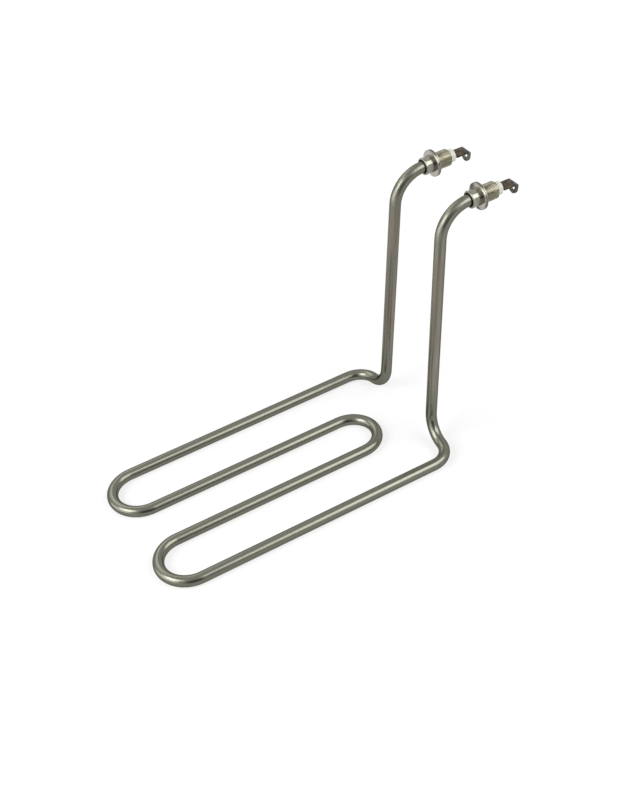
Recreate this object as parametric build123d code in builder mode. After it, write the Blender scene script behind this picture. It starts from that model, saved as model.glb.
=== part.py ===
"""Tubular heating element: a flat four-run serpentine with two raised legs and screw-in terminals.

The sheath is one stainless tube. It lies flat in four runs joined by three bends, steps inward
at the rear, rises in two legs that lean back a little, and turns level into two threaded bushes.
Magnesia packed inside the tube holds a resistance coil and the two cold pins that feed it.

Frame: millimetres, +Z up, X across the element with the mirror plane at X = 0, and +Y from the
front bends to the terminals. The origin is the centre of the footprint, on the surface under the
runs. "Left" is -X. Along each terminal, stations are measured from the bush's open mouth.
"""

import os
from math import cos, radians, sin

from build123d import *

# ---- sheath and its route ------------------------------------------------------------------
tube_d = 8.0                # outside diameter of the sheath
sheath_wall = 0.6
front_bend_r = 20.5         # centreline radii of the bends
centre_bend_r = 18.5
rear_bend_r = 15.0
foot_bend_r = 17.5
top_bend_r = 23.0
centre_bend_reach = 188.0   # front apex to the centre bend's apex
rear_corner_reach = 215.5   # front apex to the outer runs' rear corners
foot_x = 30.0               # corner under each leg, off the mirror plane
foot_step_back = 2.0        # the step inward also drifts back and up
foot_step_up = 3.0
terminal_pitch = 53.5       # between the two terminal axes
leg_height = 172.5          # foot corner to top corner
leg_lean = 20.5             # the same two corners, front to back
mouth_from_top = 20.5       # top corner to the bush's mouth

# ---- threaded bush, crimped on the sheath ----------------------------------------------------
collar_d = 12.0
collar_length = 6.5
mouth_bore_d = 9.8          # relief round the sheath where it enters the bush
mouth_bore_depth = 3.0
mouth_round = 0.6           # collar rolled in at its mouth
crimp_flats = 16
crimp_across_flats = 11.5
crimp_start = 1.2
crimp_end = 5.8
flange_d = 18.7
flange_t = 2.5
thread_d = 12.0             # M12 x 1, drawn here at its major diameter
thread_length = 11.5
thread_chamfer = 0.8
edge_break = 0.4

# ---- ceramic, seal, pin and coil ---------------------------------------------------------------
ceramic_head_d = 9.0
ceramic_head_length = 4.0
ceramic_stem_d = 6.6
ceramic_stem_length = 5.5
ceramic_round = 0.9
pin_d = 2.5
pin_hole_d = 2.7
seal_length = 4.0
coil_d = 3.6                # outside of the close-wound resistance coil
cold_leg = 35.0             # top corner to the cold pin's inner end, down the leg
pin_weld_length = 6.0       # the pin's flatted end, welded under the terminal

# ---- terminal, bent from strip ------------------------------------------------------------------
strip_w = 9.0
strip_t = 1.2
terminal_reach = 36.0       # mouth to the terminal's outer face
terminal_gap = 0.3          # ceramic head to strip
bend_inner_r = 0.3
bend_angle = 98.0           # degrees, so the tab points a little forward
screw_hole_d = 4.2          # concentric with the tab's round end
hole_drop = 4.2             # sharp outer corner to the hole's centre, along the tab

# ---- places worked out from them -----------------------------------------------------------------
tube_r = tube_d / 2
bore_r = tube_r - sheath_wall
inner_run_x = centre_bend_r
outer_run_x = inner_run_x + 2 * front_bend_r
top_reach = rear_corner_reach + foot_step_back + leg_lean
overall_depth = tube_r + top_reach + mouth_from_top + terminal_reach

front_y = -overall_depth / 2 + tube_r        # centreline at the front apexes
front_bend_y = front_y + front_bend_r
centre_bend_y = front_y + centre_bend_reach - centre_bend_r
rear_y = front_y + rear_corner_reach
mouth_y = front_y + top_reach + mouth_from_top
run_z = tube_r
terminal_x = terminal_pitch / 2
terminal_z = run_z + foot_step_up + leg_height

flange_station = collar_length
thread_station = flange_station + flange_t
bush_length = thread_station + thread_length
ceramic_end = bush_length + ceramic_head_length
seal_outer = bush_length - ceramic_stem_length
seal_inner = seal_outer - seal_length

TERMINAL_AXIS = Vector(0, 1, 0)
SIDES = {"left": -1, "right": 1}


def station(side, along):
    """Point on one terminal's axis, at a distance from the bush's mouth."""
    return Vector(side * terminal_x, mouth_y + along, terminal_z)


def top_corner(side):
    """Corner of the route where a leg turns level."""
    return Vector(side * terminal_x, mouth_y - mouth_from_top, terminal_z)


def foot_corner(side):
    """Corner of the route under a leg."""
    return Vector(side * foot_x, rear_y + foot_step_back, run_z + foot_step_up)


def cold_end(side):
    """Place on a leg where the cold pin ends and the coil starts."""
    down_the_leg = (foot_corner(side) - top_corner(side)).normalized()
    return top_corner(side) + down_the_leg * cold_leg


def axial_plane(side):
    """Upright plane through a terminal's axis: local x runs along the axis, local y is up."""
    return Plane(origin=station(side, 0), x_dir=TERMINAL_AXIS, z_dir=(1, 0, 0))


def terminal_axis(side):
    return Axis(station(side, 0), TERMINAL_AXIS)


def cross_section(start, direction, radius):
    """Round section of a tube or rod, at the start of its route."""
    with BuildSketch(Plane(origin=start, z_dir=direction)) as section:
        Circle(radius)
    return section.sketch


def serpentine(lead_in, lead_radii):
    """Route of the whole element: the left half from its lead-in points, then its mirror image."""
    foot = foot_corner(-1)
    rear = (-outer_run_x, rear_y, run_z)
    with BuildLine() as route:
        FilletPolyline(
            *lead_in, foot, rear, (-outer_run_x, front_bend_y, run_z),
            radius=[*lead_radii, foot_bend_r, rear_bend_r],
        )
        ThreePointArc(
            (-outer_run_x, front_bend_y, run_z),
            (-inner_run_x - front_bend_r, front_y, run_z),
            (-inner_run_x, front_bend_y, run_z),
        )
        Line((-inner_run_x, front_bend_y, run_z), (-inner_run_x, centre_bend_y, run_z))
        ThreePointArc(
            (-inner_run_x, centre_bend_y, run_z),
            (-inner_run_x * cos(radians(45)), centre_bend_y + centre_bend_r * sin(radians(45)), run_z),
            (0, centre_bend_y + centre_bend_r, run_z),
        )
        mirror(about=Plane.YZ)
    return route.wire()


def sheath():
    """Stainless tube, from one bush's end face right round to the other's."""
    start = station(-1, bush_length)
    route = serpentine([start, top_corner(-1)], [top_bend_r])
    with BuildPart() as tube:
        sweep(cross_section(start, -TERMINAL_AXIS, tube_r), path=route)
        sweep(cross_section(start, -TERMINAL_AXIS, bore_r), path=route, mode=Mode.SUBTRACT)
    return tube.part


def coil():
    """Resistance coil as the closed form of its winding, from cold pin to cold pin."""
    start = cold_end(-1)
    route = serpentine([start], [])
    down_the_leg = foot_corner(-1) - top_corner(-1)
    with BuildPart() as winding:
        sweep(cross_section(start, down_the_leg, coil_d / 2), path=route)
    return winding.part


def cold_pin(side):
    """Steel pin from the terminal, through ceramic and seal, round the top bend to the coil."""
    start = station(side, ceramic_end + terminal_gap + pin_weld_length)
    flat_length = pin_weld_length + terminal_gap
    with BuildPart() as pin:
        with BuildLine() as route:
            FilletPolyline(start, top_corner(side), cold_end(side), radius=top_bend_r)
        sweep(cross_section(start, -TERMINAL_AXIS, pin_d / 2), path=route.wire())
        with BuildSketch(axial_plane(side)):
            with Locations((ceramic_end, -strip_t / 2)):
                Rectangle(flat_length, pin_d, align=(Align.MIN, Align.MIN))
        extrude(amount=pin_d, both=True, mode=Mode.SUBTRACT)
    return pin.part


def magnesia(winding, pins):
    """Packed magnesia that fills the sheath between the seals and grips the coil and pins."""
    start = station(-1, seal_inner)
    route = serpentine([start, top_corner(-1)], [top_bend_r])
    with BuildPart() as core:
        sweep(cross_section(start, -TERMINAL_AXIS, bore_r), path=route)
        add([winding, *pins], mode=Mode.SUBTRACT)
    return core.part


def end_seal(side):
    """Moisture seal poured round the cold pin, behind the ceramic's stem."""
    with BuildPart() as seal:
        with BuildSketch(axial_plane(side)):
            with Locations((seal_inner, pin_d / 2)):
                Rectangle(seal_length, bore_r - pin_d / 2, align=(Align.MIN, Align.MIN))
        revolve(axis=terminal_axis(side))
    return seal.part


def round_edges(part, diameter):
    """Circular edges of one diameter, picked out for a chamfer or fillet."""
    circles = part.edges().filter_by(GeomType.CIRCLE)
    return circles.filter_by(lambda edge: abs(edge.radius - diameter / 2) < 0.01)


def threaded_bush(side):
    """Turned bush: crimped collar with a relieved mouth, sealing flange and screwed end."""
    outline = [
        (mouth_bore_depth, tube_r), (mouth_bore_depth, mouth_bore_d / 2), (0, mouth_bore_d / 2),
        (0, collar_d / 2), (flange_station, collar_d / 2), (flange_station, flange_d / 2),
        (thread_station, flange_d / 2), (thread_station, thread_d / 2),
        (bush_length, thread_d / 2), (bush_length, tube_r),
    ]
    crimp_plane = Plane(origin=station(side, crimp_start), z_dir=TERMINAL_AXIS)
    with BuildPart() as bush:
        with BuildSketch(axial_plane(side)):
            with BuildLine():
                Polyline(*outline, close=True)
            make_face()
        revolve(axis=terminal_axis(side))
        chamfer(round_edges(bush, flange_d), edge_break)
        fillet(round_edges(bush, collar_d).sort_by(Axis.Y)[0], mouth_round)
        chamfer(round_edges(bush, thread_d).sort_by(Axis.Y)[-1], thread_chamfer)
        with BuildSketch(crimp_plane):
            Circle(collar_d / 2 + edge_break)
            RegularPolygon(
                crimp_across_flats / 2, crimp_flats, major_radius=False, mode=Mode.SUBTRACT
            )
        extrude(amount=crimp_end - crimp_start, mode=Mode.SUBTRACT)
    return bush.part


def ceramic_insulator(side):
    """Ceramic bead: a round head on the bush's end face and a stem inside the sheath."""
    outline = [
        (bush_length - ceramic_stem_length, pin_hole_d / 2),
        (bush_length - ceramic_stem_length, ceramic_stem_d / 2), (bush_length, ceramic_stem_d / 2),
        (bush_length, ceramic_head_d / 2), (ceramic_end, ceramic_head_d / 2),
        (ceramic_end, pin_hole_d / 2),
    ]
    with BuildPart() as bead:
        with BuildSketch(axial_plane(side)):
            with BuildLine():
                Polyline(*outline, close=True)
            make_face()
        revolve(axis=terminal_axis(side))
        outer_rim = round_edges(bead, ceramic_head_d).sort_by(Axis.Y)[-1]
        fillet(outer_rim, ceramic_round)
    return bead.part


def terminal(side):
    """Strip welded to the cold pin and bent down into a round-ended tab with a screw hole."""
    outer_r = bend_inner_r + strip_t
    strip_start = ceramic_end + terminal_gap
    strip_end = terminal_reach - outer_r
    hinge = station(side, strip_end) + Vector(0, 0, strip_t / 2 - outer_r)
    turn = radians(bend_angle)
    outward = Vector(0, sin(turn), cos(turn))
    corner_to_tab = outer_r * sin(turn) / (1 + cos(turn))
    straight = hole_drop - corner_to_tab
    tab_plane = Plane(origin=hinge + outward * bend_inner_r, x_dir=(1, 0, 0), z_dir=outward)
    with BuildPart() as blade:
        with BuildSketch(axial_plane(side)):
            with Locations((strip_start, 0)):
                Rectangle(strip_end - strip_start, strip_t, align=(Align.MIN, Align.CENTER))
        extrude(amount=strip_w / 2, both=True)
        strip_face = blade.faces().sort_by(Axis.Y)[-1]
        revolve(strip_face, axis=Axis(hinge, (-1, 0, 0)), revolution_arc=bend_angle)
        with BuildSketch(tab_plane):
            with Locations((0, straight)):
                Circle(strip_w / 2)
            with Locations((0, straight / 2)):
                Rectangle(strip_w, straight)
            Rectangle(
                strip_w, straight + strip_w / 2,
                align=(Align.CENTER, Align.MIN), mode=Mode.INTERSECT,
            )
            with Locations((0, straight)):
                Circle(screw_hole_d / 2, mode=Mode.SUBTRACT)
        extrude(amount=strip_t)
    return blade.part


resistance_coil = coil()
cold_pins = {name: cold_pin(side) for name, side in SIDES.items()}
pieces = {
    "sheath_tube": sheath(),
    "resistance_coil": resistance_coil,
    "magnesia_core": magnesia(resistance_coil, cold_pins.values()),
}
for name, side in SIDES.items():
    pieces[f"cold_pin_{name}"] = cold_pins[name]
    pieces[f"end_seal_{name}"] = end_seal(side)
    pieces[f"threaded_bush_{name}"] = threaded_bush(side)
    pieces[f"ceramic_insulator_{name}"] = ceramic_insulator(side)
    pieces[f"terminal_{name}"] = terminal(side)

os.makedirs("parts", exist_ok=True)
for name, piece in pieces.items():
    piece.label = name
    export_step(piece, f"parts/{name}.step")
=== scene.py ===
"""Looks of the tubular heating element: M12 threads, worn finishes, studio and camera.

Everything is in metres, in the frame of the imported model: +Z up, +Y towards the terminals.
Stations along a terminal's axis are measured from the open mouth of its threaded bush.
Colours are linear red, green and blue.
"""

from math import cos, pi, radians, sin, tau

import bmesh
import bpy
from mathutils import Matrix, Vector


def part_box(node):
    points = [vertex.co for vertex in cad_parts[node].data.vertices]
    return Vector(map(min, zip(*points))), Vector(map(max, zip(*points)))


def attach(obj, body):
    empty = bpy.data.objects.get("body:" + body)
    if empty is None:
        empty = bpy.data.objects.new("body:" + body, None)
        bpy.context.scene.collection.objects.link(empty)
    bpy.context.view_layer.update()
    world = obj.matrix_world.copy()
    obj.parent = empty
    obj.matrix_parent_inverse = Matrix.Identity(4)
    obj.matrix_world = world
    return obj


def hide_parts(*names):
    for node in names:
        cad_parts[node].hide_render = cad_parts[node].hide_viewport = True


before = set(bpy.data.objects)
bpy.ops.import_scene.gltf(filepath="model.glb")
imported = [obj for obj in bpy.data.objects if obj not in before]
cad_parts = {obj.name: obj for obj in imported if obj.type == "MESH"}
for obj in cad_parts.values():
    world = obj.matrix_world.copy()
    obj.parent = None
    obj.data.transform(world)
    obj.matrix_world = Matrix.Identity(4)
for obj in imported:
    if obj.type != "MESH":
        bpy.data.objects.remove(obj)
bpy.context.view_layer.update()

MM = 0.001
SIDES = ("left", "right")
scene = bpy.context.scene


# ---- shader graph helpers --------------------------------------------------------------------


class Graph:
    """A material's or world's node tree, with short calls for the nodes used here."""

    def __init__(self, tree):
        self.tree = tree
        tree.nodes.clear()

    def node(self, kind, inputs=None, **settings):
        made = self.tree.nodes.new(kind)
        for name, value in settings.items():
            setattr(made, name, value)
        for socket, value in (inputs or {}).items():
            self.feed(made.inputs[socket], value)
        return made

    def feed(self, socket, value):
        if isinstance(value, bpy.types.NodeSocket):
            self.tree.links.new(value, socket)
        else:
            socket.default_value = value

    def math(self, operation, *values):
        made = self.node("ShaderNodeMath", dict(enumerate(values)), operation=operation)
        return made.outputs[0]

    def vector(self, operation, *values):
        made = self.node("ShaderNodeVectorMath", dict(enumerate(values)), operation=operation)
        return made.outputs["Value" if operation == "LENGTH" else "Vector"]

    def noise(self, vector, scale, detail, **inputs):
        dimensions = "4D" if "W" in inputs else "3D"
        sockets = {"Vector": vector, "Scale": scale, "Detail": detail, **inputs}
        made = self.node("ShaderNodeTexNoise", sockets, noise_dimensions=dimensions)
        return made.outputs["Fac"]

    def remap(self, value, low, high, to_low=0.0, to_high=1.0):
        sockets = {
            "Value": value, "From Min": low, "From Max": high,
            "To Min": to_low, "To Max": to_high,
        }
        return self.node("ShaderNodeMapRange", sockets, clamp=True).outputs["Result"]

    def mix(self, factor, first, second):
        """Colour mix; the node keeps its colour sockets at inputs 6 and 7 and output 2."""
        made = self.node("ShaderNodeMix", data_type="RGBA")
        self.feed(made.inputs["Factor"], factor)
        self.feed(made.inputs[6], first)
        self.feed(made.inputs[7], second)
        return made.outputs[2]

    def bump(self, height, distance, strength):
        sockets = {"Height": height, "Distance": distance, "Strength": strength}
        return self.node("ShaderNodeBump", sockets).outputs["Normal"]

    def split(self, vector):
        return self.node("ShaderNodeSeparateXYZ", {"Vector": vector}).outputs

    def place(self):
        """Position and surface normal in the object's own frame."""
        outputs = self.node("ShaderNodeTexCoord").outputs
        return outputs["Object"], outputs["Normal"]

    def finish_surface(self, **sockets):
        """Principled shader on the material output."""
        shader = self.node("ShaderNodeBsdfPrincipled")
        for name, value in sockets.items():
            self.feed(shader.inputs[name.replace("_", " ")], value)
        self.node("ShaderNodeOutputMaterial", {"Surface": shader.outputs[0]})


def new_material(name):
    material = bpy.data.materials.new(name)
    material.use_nodes = True
    return material, Graph(material.node_tree)


def rgb(red, green, blue):
    """Opaque colour."""
    return (red, green, blue, 1.0)


# ---- finishes --------------------------------------------------------------------------------

# The part of a noise's range that most of its values fall in, and a narrower part.
BROAD, MIDDLE = (0.3, 0.7), (0.35, 0.65)

# Heights on the tube between which one finish fades into the next.
LEG_FINISH_FADE, HEAT_TINT_FADE = (0.030, 0.060), (0.02, 0.07)
DULL_TOP_FADE, TOP_BEND_FADE = (0.14, 0.17), (0.172, 0.148)

RUN_DARK, RUN_PALE = rgb(0.138, 0.137, 0.112), rgb(0.182, 0.180, 0.148)
LEG_DARK, LEG_PALE = rgb(0.088, 0.087, 0.070), rgb(0.275, 0.270, 0.224)
HEAT_BROWN, STEEL_EDGE = rgb(0.222, 0.188, 0.152), rgb(0.50, 0.50, 0.46)
LINE_REACH, LINE_SCALE = 2.2, 9.0
# The seed sets where the streaks fall; it was picked so that a dark streak runs down each leg, a
# painted reflection of the other leg.
STREAK_REACH, STREAK_SCALE, STREAK_AND_PAINTED_REFLECTION_SEED = 0.42, 8.0, 11.1
MOTTLE_SCALE, HEAT_SCALE = 130.0, 38.0

TURNING_SCALE, TURNING_RATE = 6.0, 5000.0     # the rate is how fast W runs along a bush's axis
PLATE_SCALE, THREAD_SCALE = 420.0, 260.0
THREAD_DULL, THREAD_BRIGHT = rgb(0.250, 0.236, 0.180), rgb(0.370, 0.350, 0.276)

CLOUD_SCALE, PORE_SCALE = 300.0, 2600.0
CERAMIC_DARK, CERAMIC_PALE = rgb(0.67, 0.68, 0.585), rgb(0.75, 0.75, 0.66)

SCALE_PATCHES, SCALE_SPECKS = 330.0, 1500.0
BURNT_BLACK, BURNT_BROWN = rgb(0.010, 0.008, 0.005), rgb(0.095, 0.066, 0.034)
WORN_GREY, PALE_SPECK = rgb(0.150, 0.151, 0.146), rgb(0.20, 0.18, 0.15)
TAB_FADE = (0.1465, 0.1480)     # +Y between which the browned strip turns into its worn tab

GRAIN_SCALE, GRAIN_SHADE = 900.0, 0.82
FINE_RELIEF, SCALE_RELIEF = 0.00003, 0.00006


def streaked(g, position, normal, reach):
    """Place to read a noise at so that it changes fast round the tube and slowly along it."""
    return g.vector("MULTIPLY_ADD", normal, (reach, reach, reach), position)


def drawn_steel():
    """Satin drawn stainless: lengthwise streaks, soft mottling and a faint brown heat tint; the
    streaks also lay a dark streak down each leg, a painted reflection of the other leg.
    """
    material, g = new_material("drawn_steel")
    position, normal = g.place()
    height = g.split(position)[2]
    lines = g.noise(streaked(g, position, normal, LINE_REACH), LINE_SCALE, 3.0)
    # Lengthwise streaks, partly real drawing marks and partly a painted reflection: a dark streak
    # down each leg.
    streaks_and_painted_reflection = g.noise(
        streaked(g, position, normal, STREAK_REACH), STREAK_SCALE, 2.0, W=STREAK_AND_PAINTED_REFLECTION_SEED,
    )
    mottle = g.noise(position, MOTTLE_SCALE, 2.0)
    patches = g.noise(position, HEAT_SCALE, 2.0)

    below_top_bend = g.remap(height, *TOP_BEND_FADE)
    on_legs = g.math("MULTIPLY", g.remap(height, *LEG_FINISH_FADE), below_top_bend)
    dark, pale = g.mix(on_legs, RUN_DARK, LEG_DARK), g.mix(on_legs, RUN_PALE, LEG_PALE)
    shade = g.math(
        "ADD", g.remap(lines, *BROAD, 0.0, 0.35), g.remap(streaks_and_painted_reflection, 0.42, 0.58, 0.0, 0.65),
    )

    heated = g.math("MULTIPLY", g.remap(height, *HEAT_TINT_FADE), below_top_bend)
    heat = g.math("MULTIPLY", g.remap(patches, 0.36, 0.60), heated)
    warm = g.math("MULTIPLY", heat, g.remap(streaks_and_painted_reflection, 0.42, 0.56, 0.25, 1.0))
    duller = g.math(
        "ADD", g.remap(mottle, *BROAD, 0.0, 0.04), g.remap(height, *DULL_TOP_FADE, 0.0, 0.07),
    )
    g.finish_surface(
        Base_Color=g.mix(warm, g.mix(shade, dark, pale), HEAT_BROWN), Metallic=1.0,
        Roughness=g.math("ADD", g.remap(lines, *BROAD, 0.19, 0.26), duller),
        Specular_Tint=STEEL_EDGE, Normal=g.bump(lines, FINE_RELIEF, 0.4),
    )
    return material


def nickel_plate(name, dull, bright, smoothest, roughest):
    """Nickel with light turning marks, in two shades and two smoothnesses that drift over it."""
    material, g = new_material(name)
    position, _ = g.place()
    along = g.split(position)[1]
    turning = g.noise(position, TURNING_SCALE, 2.0, W=g.math("MULTIPLY", along, TURNING_RATE))
    patches = g.noise(position, PLATE_SCALE, 3.0)
    shade = g.math(
        "MULTIPLY", g.remap(patches, *BROAD, 0.2, 1.0), g.remap(turning, 0.35, 0.6, 0.4, 1.0),
    )
    g.finish_surface(
        Base_Color=g.mix(shade, rgb(*dull), rgb(*bright)), Metallic=1.0,
        Roughness=g.remap(patches, *BROAD, smoothest, roughest),
        Normal=g.bump(turning, FINE_RELIEF, 0.4),
    )
    return material


def thread_metal():
    """Duller, yellower plate on the screwed end."""
    material, g = new_material("thread_metal")
    position, _ = g.place()
    patches = g.noise(position, THREAD_SCALE, 2.0)
    g.finish_surface(
        Base_Color=g.mix(g.remap(patches, *BROAD), THREAD_DULL, THREAD_BRIGHT), Metallic=1.0,
        Roughness=g.remap(patches, *BROAD, 0.26, 0.35),
    )
    return material


def white_ceramic():
    """Unglazed steatite: slightly waxy white with fine pores."""
    material, g = new_material("white_ceramic")
    position, _ = g.place()
    cloud = g.noise(position, CLOUD_SCALE, 3.0)
    pores = g.noise(position, PORE_SCALE, 2.0)
    g.finish_surface(
        Base_Color=g.mix(g.remap(cloud, *MIDDLE), CERAMIC_DARK, CERAMIC_PALE), Roughness=0.5,
        Normal=g.bump(pores, FINE_RELIEF, 0.35),
    )
    return material


def oxidised_steel():
    """Strip steel browned and blackened by heat, worn back to grey on the screw's tab."""
    material, g = new_material("oxidised_steel")
    position, _ = g.place()
    along = g.split(position)[1]
    patches = g.noise(position, SCALE_PATCHES, 4.0)
    specks = g.noise(position, SCALE_SPECKS, 2.0)
    scale = g.mix(g.remap(patches, 0.40, 0.60), BURNT_BLACK, BURNT_BROWN)
    worn = g.math(
        "MULTIPLY", g.remap(along, *TAB_FADE), g.remap(patches, 0.35, 0.6, 0.4, 1.0),
    )
    surface = g.mix(worn, scale, WORN_GREY)
    g.finish_surface(
        Base_Color=g.mix(g.remap(specks, 0.60, 0.72), surface, PALE_SPECK), Metallic=0.75,
        Roughness=g.remap(patches, *MIDDLE, 0.34, 0.50), Normal=g.bump(specks, SCALE_RELIEF, 0.6),
    )
    return material


def hidden_finish(name, colour, metallic, roughness):
    """Plain procedural finish for the pieces that only a cut would show."""
    material, g = new_material(name)
    position, _ = g.place()
    grain = g.noise(position, GRAIN_SCALE, 3.0)
    darker = rgb(*(GRAIN_SHADE * part for part in colour))
    g.finish_surface(
        Base_Color=g.mix(g.remap(grain, *MIDDLE), darker, rgb(*colour)),
        Metallic=metallic, Roughness=roughness, Normal=g.bump(grain, FINE_RELIEF, 0.3),
    )
    return material


def dress(node, material):
    """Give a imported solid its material; its shape stays."""
    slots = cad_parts[node].data.materials
    slots.clear()
    slots.append(material)


# ---- threaded bushes -------------------------------------------------------------------------

COLLAR_R, COLLAR_END = 6.0 * MM, 6.5 * MM
MOUTH_R, MOUTH_DEPTH, MOUTH_ROUND = 4.9 * MM, 3.0 * MM, 0.6 * MM
CRIMP_START, CRIMP_END = 1.2 * MM, 5.8 * MM
CRIMP_FLATS, CRIMP_APOTHEM = 16, 5.75 * MM
FLANGE_R, FLANGE_END, FLANGE_ROUND = 9.35 * MM, 9.0 * MM, 0.4 * MM
RIM_GROOVE_HALF, RIM_GROOVE_FLOOR, RIM_GROOVE_DEPTH = 0.38 * MM, 0.266 * MM, 0.4 * MM
THREAD_R, THREAD_PITCH, THREAD_DEPTH = 6.0 * MM, 1.0 * MM, 0.5 * MM
THREAD_FLANK, THREAD_CREST = 1.55, 0.40     # slope of the flanks, and what the crest cuts off
THREAD_RUNOUT, THREAD_CHAMFER = 0.9 * MM, 0.8 * MM
BUSH_END, BUSH_BORE_R = 20.5 * MM, 4.0 * MM
MOUTH_BREAK = 0.1 * MM
ROUND_STEPS, SEGMENTS, ROWS_PER_PITCH = 5, 128, 12
SHARP_EDGE = radians(24)
ON_FLANGE, PAST_FLANGE = 0.01 * MM, 0.05 * MM     # slack in telling faces by their station
COLLAR_SLOT, FLANGE_SLOT, THREAD_SLOT = 0, 1, 2


def crimped(angle):
    """Collar radius at an angle, where flats were pressed round it."""
    step = tau / CRIMP_FLATS
    return CRIMP_APOTHEM / cos((angle + step / 2) % step - step / 2)


def thread_radius(station, angle):
    """Radius of a V thread that fades out towards the flange. As written, it winds left-handed."""
    turn = ((station - FLANGE_END) / THREAD_PITCH - angle / tau) % 1.0
    groove = THREAD_FLANK * (1.0 - abs(2.0 * turn - 1.0)) - THREAD_CREST
    groove = min(1.0, max(0.0, groove))
    fade = min(1.0, (station - FLANGE_END) / THREAD_RUNOUT)
    chamfered = THREAD_R - max(0.0, station - (BUSH_END - THREAD_CHAMFER))
    return min(chamfered, THREAD_R - THREAD_DEPTH * groove * fade)


def rounded(station, radius, size, first, last):
    """Rings of a rounded edge about its centre, from one angle in degrees to another."""
    rings = []
    for step in range(ROUND_STEPS + 1):
        angle = radians(first + (last - first) * step / ROUND_STEPS)
        rings.append((station - size * cos(angle), radius + size * sin(angle)))
    return rings


def bush_rings():
    """Each ring's station and radius, or radius by angle, from the inner mouth to the bore."""
    rim_middle = (COLLAR_END + FLANGE_END) / 2
    rings = [
        (MOUTH_DEPTH, BUSH_BORE_R), (MOUTH_DEPTH, MOUTH_R), (MOUTH_BREAK, MOUTH_R),
        (0.0, MOUTH_R + MOUTH_BREAK),
        *rounded(MOUTH_ROUND, COLLAR_R - MOUTH_ROUND, MOUTH_ROUND, 0, 90),
        (CRIMP_START, COLLAR_R), (CRIMP_START, crimped), (CRIMP_END, crimped),
        (CRIMP_END, COLLAR_R), (COLLAR_END, COLLAR_R),
        *rounded(COLLAR_END + FLANGE_ROUND, FLANGE_R - FLANGE_ROUND, FLANGE_ROUND, 0, 90),
        (rim_middle - RIM_GROOVE_HALF, FLANGE_R),
        (rim_middle - RIM_GROOVE_FLOOR, FLANGE_R - RIM_GROOVE_DEPTH),
        (rim_middle + RIM_GROOVE_FLOOR, FLANGE_R - RIM_GROOVE_DEPTH),
        (rim_middle + RIM_GROOVE_HALF, FLANGE_R),
        *rounded(FLANGE_END - FLANGE_ROUND, FLANGE_R - FLANGE_ROUND, FLANGE_ROUND, 90, 180),
    ]
    rows = round((BUSH_END - FLANGE_END) / THREAD_PITCH * ROWS_PER_PITCH)
    for row in range(rows + 1):
        station = FLANGE_END + (BUSH_END - FLANGE_END) * row / rows
        rings.append((station, lambda angle, station=station: thread_radius(station, angle)))
    rings.append((BUSH_END, BUSH_BORE_R))
    return rings


def lathe(name, origin, rings):
    """Closed turned body about +Y through origin; rings follow the profile round once."""
    mesh = bmesh.new()
    loops = []
    for station, radius in rings:
        loop = []
        for index in range(SEGMENTS):
            angle = tau * index / SEGMENTS
            r = radius(angle) if callable(radius) else radius
            point = Vector((r * cos(angle), station, r * sin(angle)))
            loop.append(mesh.verts.new(origin + point))
        loops.append(loop)
    for ring, loop in enumerate(loops):
        following = loops[(ring + 1) % len(loops)]
        for index in range(SEGMENTS):
            after = (index + 1) % SEGMENTS
            mesh.faces.new((loop[index], loop[after], following[after], following[index]))
    bmesh.ops.recalc_face_normals(mesh, faces=mesh.faces)
    for face in mesh.faces:
        face.smooth = True
    for edge in mesh.edges:
        edge.smooth = edge.calc_face_angle(0.0) < SHARP_EDGE
    data = bpy.data.meshes.new(name)
    mesh.to_mesh(data)
    mesh.free()
    piece = bpy.data.objects.new(name, data)
    scene.collection.objects.link(piece)
    return piece


def bush_mouth(side):
    """Point on a bush's axis at its mouth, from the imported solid's box."""
    low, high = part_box(f"threaded_bush_{side}")
    return Vector(((low.x + high.x) / 2, low.y, (low.z + high.z) / 2))


def threaded_bush(side, finishes):
    """Bush with a cut helical thread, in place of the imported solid's plain cylinder."""
    node = f"threaded_bush_{side}"
    mouth = bush_mouth(side)
    piece = lathe(f"bush_with_thread_{side}", mouth, bush_rings())
    for finish in finishes:
        piece.data.materials.append(finish)
    for face in piece.data.polygons:
        station = face.center.y - mouth.y
        # The collar slot takes the darker copy of the nickel (painted shade), and the flange slot
        # the lighter copy (painted light).
        face.material_index = COLLAR_SLOT
        if abs(station - COLLAR_END) < ON_FLANGE:
            face.material_index = FLANGE_SLOT
        elif station > FLANGE_END + PAST_FLANGE:
            face.material_index = THREAD_SLOT
    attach(piece, "root")
    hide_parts(node)


# ---- studio ----------------------------------------------------------------------------------

# The photograph's camera as it was fitted: one point of the model, and where the camera sees it.
# The azimuth is that of the camera's level axis, a quarter turn on from where the camera stands.
LEVEL_AZIMUTH, VIEW_ELEVATION, VIEW_ROLL = radians(65.28), radians(39.88), radians(-7.75)
FITTED_POINT = Vector((0.0, -124.75, 4.0)) * MM         # in the model's frame
SEEN_AT = Vector((-100.76, 84.03, 892.97)) * MM         # in camera axes: right, down, ahead
FOCAL_PIXELS, IMAGE_HEIGHT, SENSOR_MM = 1310.55, 800, 36.0

FLOOR_SIZE = 12.0
FLOOR_LIT, FLOOR_SEEN = rgb(0.8, 0.8, 0.8), rgb(0.3, 0.3, 0.3)
FLOOR_GLOW = (0.25, 0.9, 0.72, 0.97)     # distances from the middle, and the glow at each
SKY_LIGHT = 0.15
AIM_POINT = Vector((0.0, 0.0, 0.05))
LAMP_DISTANCE, FLAG_DISTANCE = 1.4, 1.5
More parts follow.
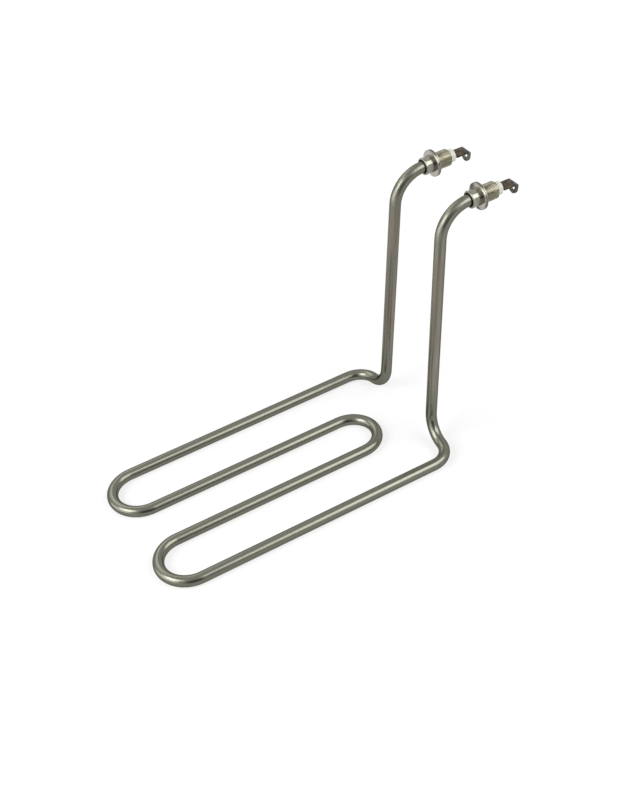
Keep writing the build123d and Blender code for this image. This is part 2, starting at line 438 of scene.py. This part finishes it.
# Each lamp's azimuth, elevation, width, height and radiance.
SOFTBOXES = {
    "softbox_back": (41.0, 45.0, 1.20, 0.90, 3.6),
    "softbox_front": (-89.0, 42.0, 0.90, 0.75, 5.7),
    "softbox_left": (-167.0, 42.0, 0.90, 0.60, 1.6),
    "fill_front": (-97.0, 13.0, 1.70, 0.55, 2.0),
}
FLAG_PLACE, FLAG_SCALE = (-18.0, 22.0), (1.4, 1.6, 1.0)     # azimuth and elevation; size
FLAG_SIDE_GLOW = (0.30, 0.50, 0.0, 0.45)     # shares of its width from the middle, and the glow
FLAG_GLOW = (-0.2, 0.3, 0.11, 0.34)          # shares of its height from the middle, and the glow


def photo_camera():
    """Camera at the photograph's viewpoint."""
    ahead = Vector((
        -sin(LEVEL_AZIMUTH) * cos(VIEW_ELEVATION), cos(LEVEL_AZIMUTH) * cos(VIEW_ELEVATION),
        -sin(VIEW_ELEVATION),
    ))
    level = Vector((cos(LEVEL_AZIMUTH), sin(LEVEL_AZIMUTH), 0.0))
    upright = level.cross(ahead)
    right = level * cos(VIEW_ROLL) + upright * sin(VIEW_ROLL)
    up = upright * cos(VIEW_ROLL) - level * sin(VIEW_ROLL)
    centre = FITTED_POINT - right * SEEN_AT.x + up * SEEN_AT.y - ahead * SEEN_AT.z
    data = bpy.data.cameras.new("photo_camera")
    data.sensor_width = SENSOR_MM
    data.lens = FOCAL_PIXELS * SENSOR_MM / IMAGE_HEIGHT
    camera = bpy.data.objects.new("photo_camera", data)
    facing = Matrix((right, up, -ahead)).transposed().to_4x4()
    camera.matrix_world = Matrix.Translation(centre) @ facing
    scene.collection.objects.link(camera)
    scene.camera = camera


def seen_rays(g):
    """One for camera, glossy and transmission rays, nought for the rest."""
    path = g.node("ShaderNodeLightPath").outputs
    seen = g.math("MAXIMUM", path["Is Camera Ray"], path["Is Glossy Ray"])
    return g.math("MAXIMUM", seen, path["Is Transmission Ray"])


def white_floor():
    """Pale floor that reads white and keeps a faint shadow."""
    material, g = new_material("white_floor")
    seen = seen_rays(g)
    position, _ = g.place()
    diffuse = g.node("ShaderNodeBsdfDiffuse", {"Color": g.mix(seen, FLOOR_LIT, FLOOR_SEEN)})
    away = g.vector("LENGTH", g.vector("MULTIPLY", position, (1.0, 1.0, 0.0)))
    brightness = g.math("MULTIPLY", seen, g.remap(away, *FLOOR_GLOW))
    glow = g.node("ShaderNodeEmission", {"Strength": brightness})
    both = g.node("ShaderNodeAddShader", {0: diffuse.outputs[0], 1: glow.outputs[0]})
    g.node("ShaderNodeOutputMaterial", {"Surface": both.outputs[0]})
    bpy.ops.mesh.primitive_plane_add(size=FLOOR_SIZE)
    floor = bpy.context.object
    floor.name = "studio_floor"
    floor.data.materials.append(material)


def toward(azimuth, elevation, distance):
    """Point at a distance from the origin, by azimuth from +X and elevation, both in degrees."""
    a, e = radians(azimuth), radians(elevation)
    return Vector((cos(a) * cos(e), sin(a) * cos(e), sin(e))) * distance


def aim(thing):
    """Turn a lamp or card to face the element."""
    direction = AIM_POINT - thing.location
    thing.rotation_euler = direction.to_track_quat("-Z", "Y").to_euler()


def softbox(name, azimuth, elevation, width, height, radiance):
    """Area lamp given by where it stands and how bright its face looks."""
    lamp = bpy.data.lights.new(name, "AREA")
    lamp.shape = "RECTANGLE"
    lamp.size, lamp.size_y = width, height
    lamp.energy = radiance * pi * width * height
    box = bpy.data.objects.new(name, lamp)
    box.location = toward(azimuth, elevation, LAMP_DISTANCE)
    aim(box)
    scene.collection.objects.link(box)


def dark_flag():
    """Dark card, seen only in reflections, that gives bright metal its dark side."""
    material, g = new_material("dark_flag")
    position, _ = g.place()
    across, upward, _ = g.split(position)
    edges = g.remap(g.math("ABSOLUTE", across), *FLAG_SIDE_GLOW)
    brightness = g.math("ADD", edges, g.remap(upward, *FLAG_GLOW))
    glow = g.node("ShaderNodeEmission", {"Strength": brightness})
    g.node("ShaderNodeOutputMaterial", {"Surface": glow.outputs[0]})
    bpy.ops.mesh.primitive_plane_add(size=1.0)
    card = bpy.context.object
    card.name = "dark_flag"
    card.scale = FLAG_SCALE
    card.location = toward(*FLAG_PLACE, FLAG_DISTANCE)
    aim(card)
    card.data.materials.append(material)
    card.visible_camera = False
    card.visible_diffuse = False
    card.visible_shadow = False


def studio():
    """World, floor, lamps and card."""
    world = bpy.data.worlds.new("studio")
    scene.world = world
    world.use_nodes = True
    g = Graph(world.node_tree)
    strength = g.remap(seen_rays(g), 0.0, 1.0, SKY_LIGHT, 1.0)
    sky = g.node("ShaderNodeBackground", {"Color": rgb(1.0, 1.0, 1.0), "Strength": strength})
    g.node("ShaderNodeOutputWorld", {"Surface": sky.outputs[0]})
    white_floor()
    for name, settings in SOFTBOXES.items():
        softbox(name, *settings)
    dark_flag()
    scene.view_settings.view_transform = "Standard"


# ---- the scene -------------------------------------------------------------------------------

pin_steel = hidden_finish("pin_steel", (0.22, 0.21, 0.20), 1.0, 0.35)
dress("sheath_tube", drawn_steel())
dress("resistance_coil", hidden_finish("resistance_alloy", (0.20, 0.19, 0.18), 1.0, 0.5))
dress("magnesia_core", hidden_finish("magnesia", (0.82, 0.81, 0.77), 0.0, 0.9))
# One nickel plate in two copies. A darker copy, painted shade that dims the highlights, goes on
# the mouth, collar, flange rim and the flange's back face. A lighter copy, painted light, goes on
# the flange's front face.
bush_finishes = (
    nickel_plate("nickel_collar_painted_shade", (0.190, 0.184, 0.152), (0.335, 0.324, 0.276), 0.20, 0.32),
    nickel_plate("nickel_flange_painted_light", (0.370, 0.362, 0.325), (0.475, 0.466, 0.424), 0.09, 0.15),
    thread_metal(),
)
ceramic, browned = white_ceramic(), oxidised_steel()
silicone = hidden_finish("seal_silicone", (0.45, 0.10, 0.06), 0.0, 0.6)
for side in SIDES:
    threaded_bush(side, bush_finishes)
    dress(f"cold_pin_{side}", pin_steel)
    dress(f"end_seal_{side}", silicone)
    dress(f"ceramic_insulator_{side}", ceramic)
    dress(f"terminal_{side}", browned)

studio()
photo_camera()
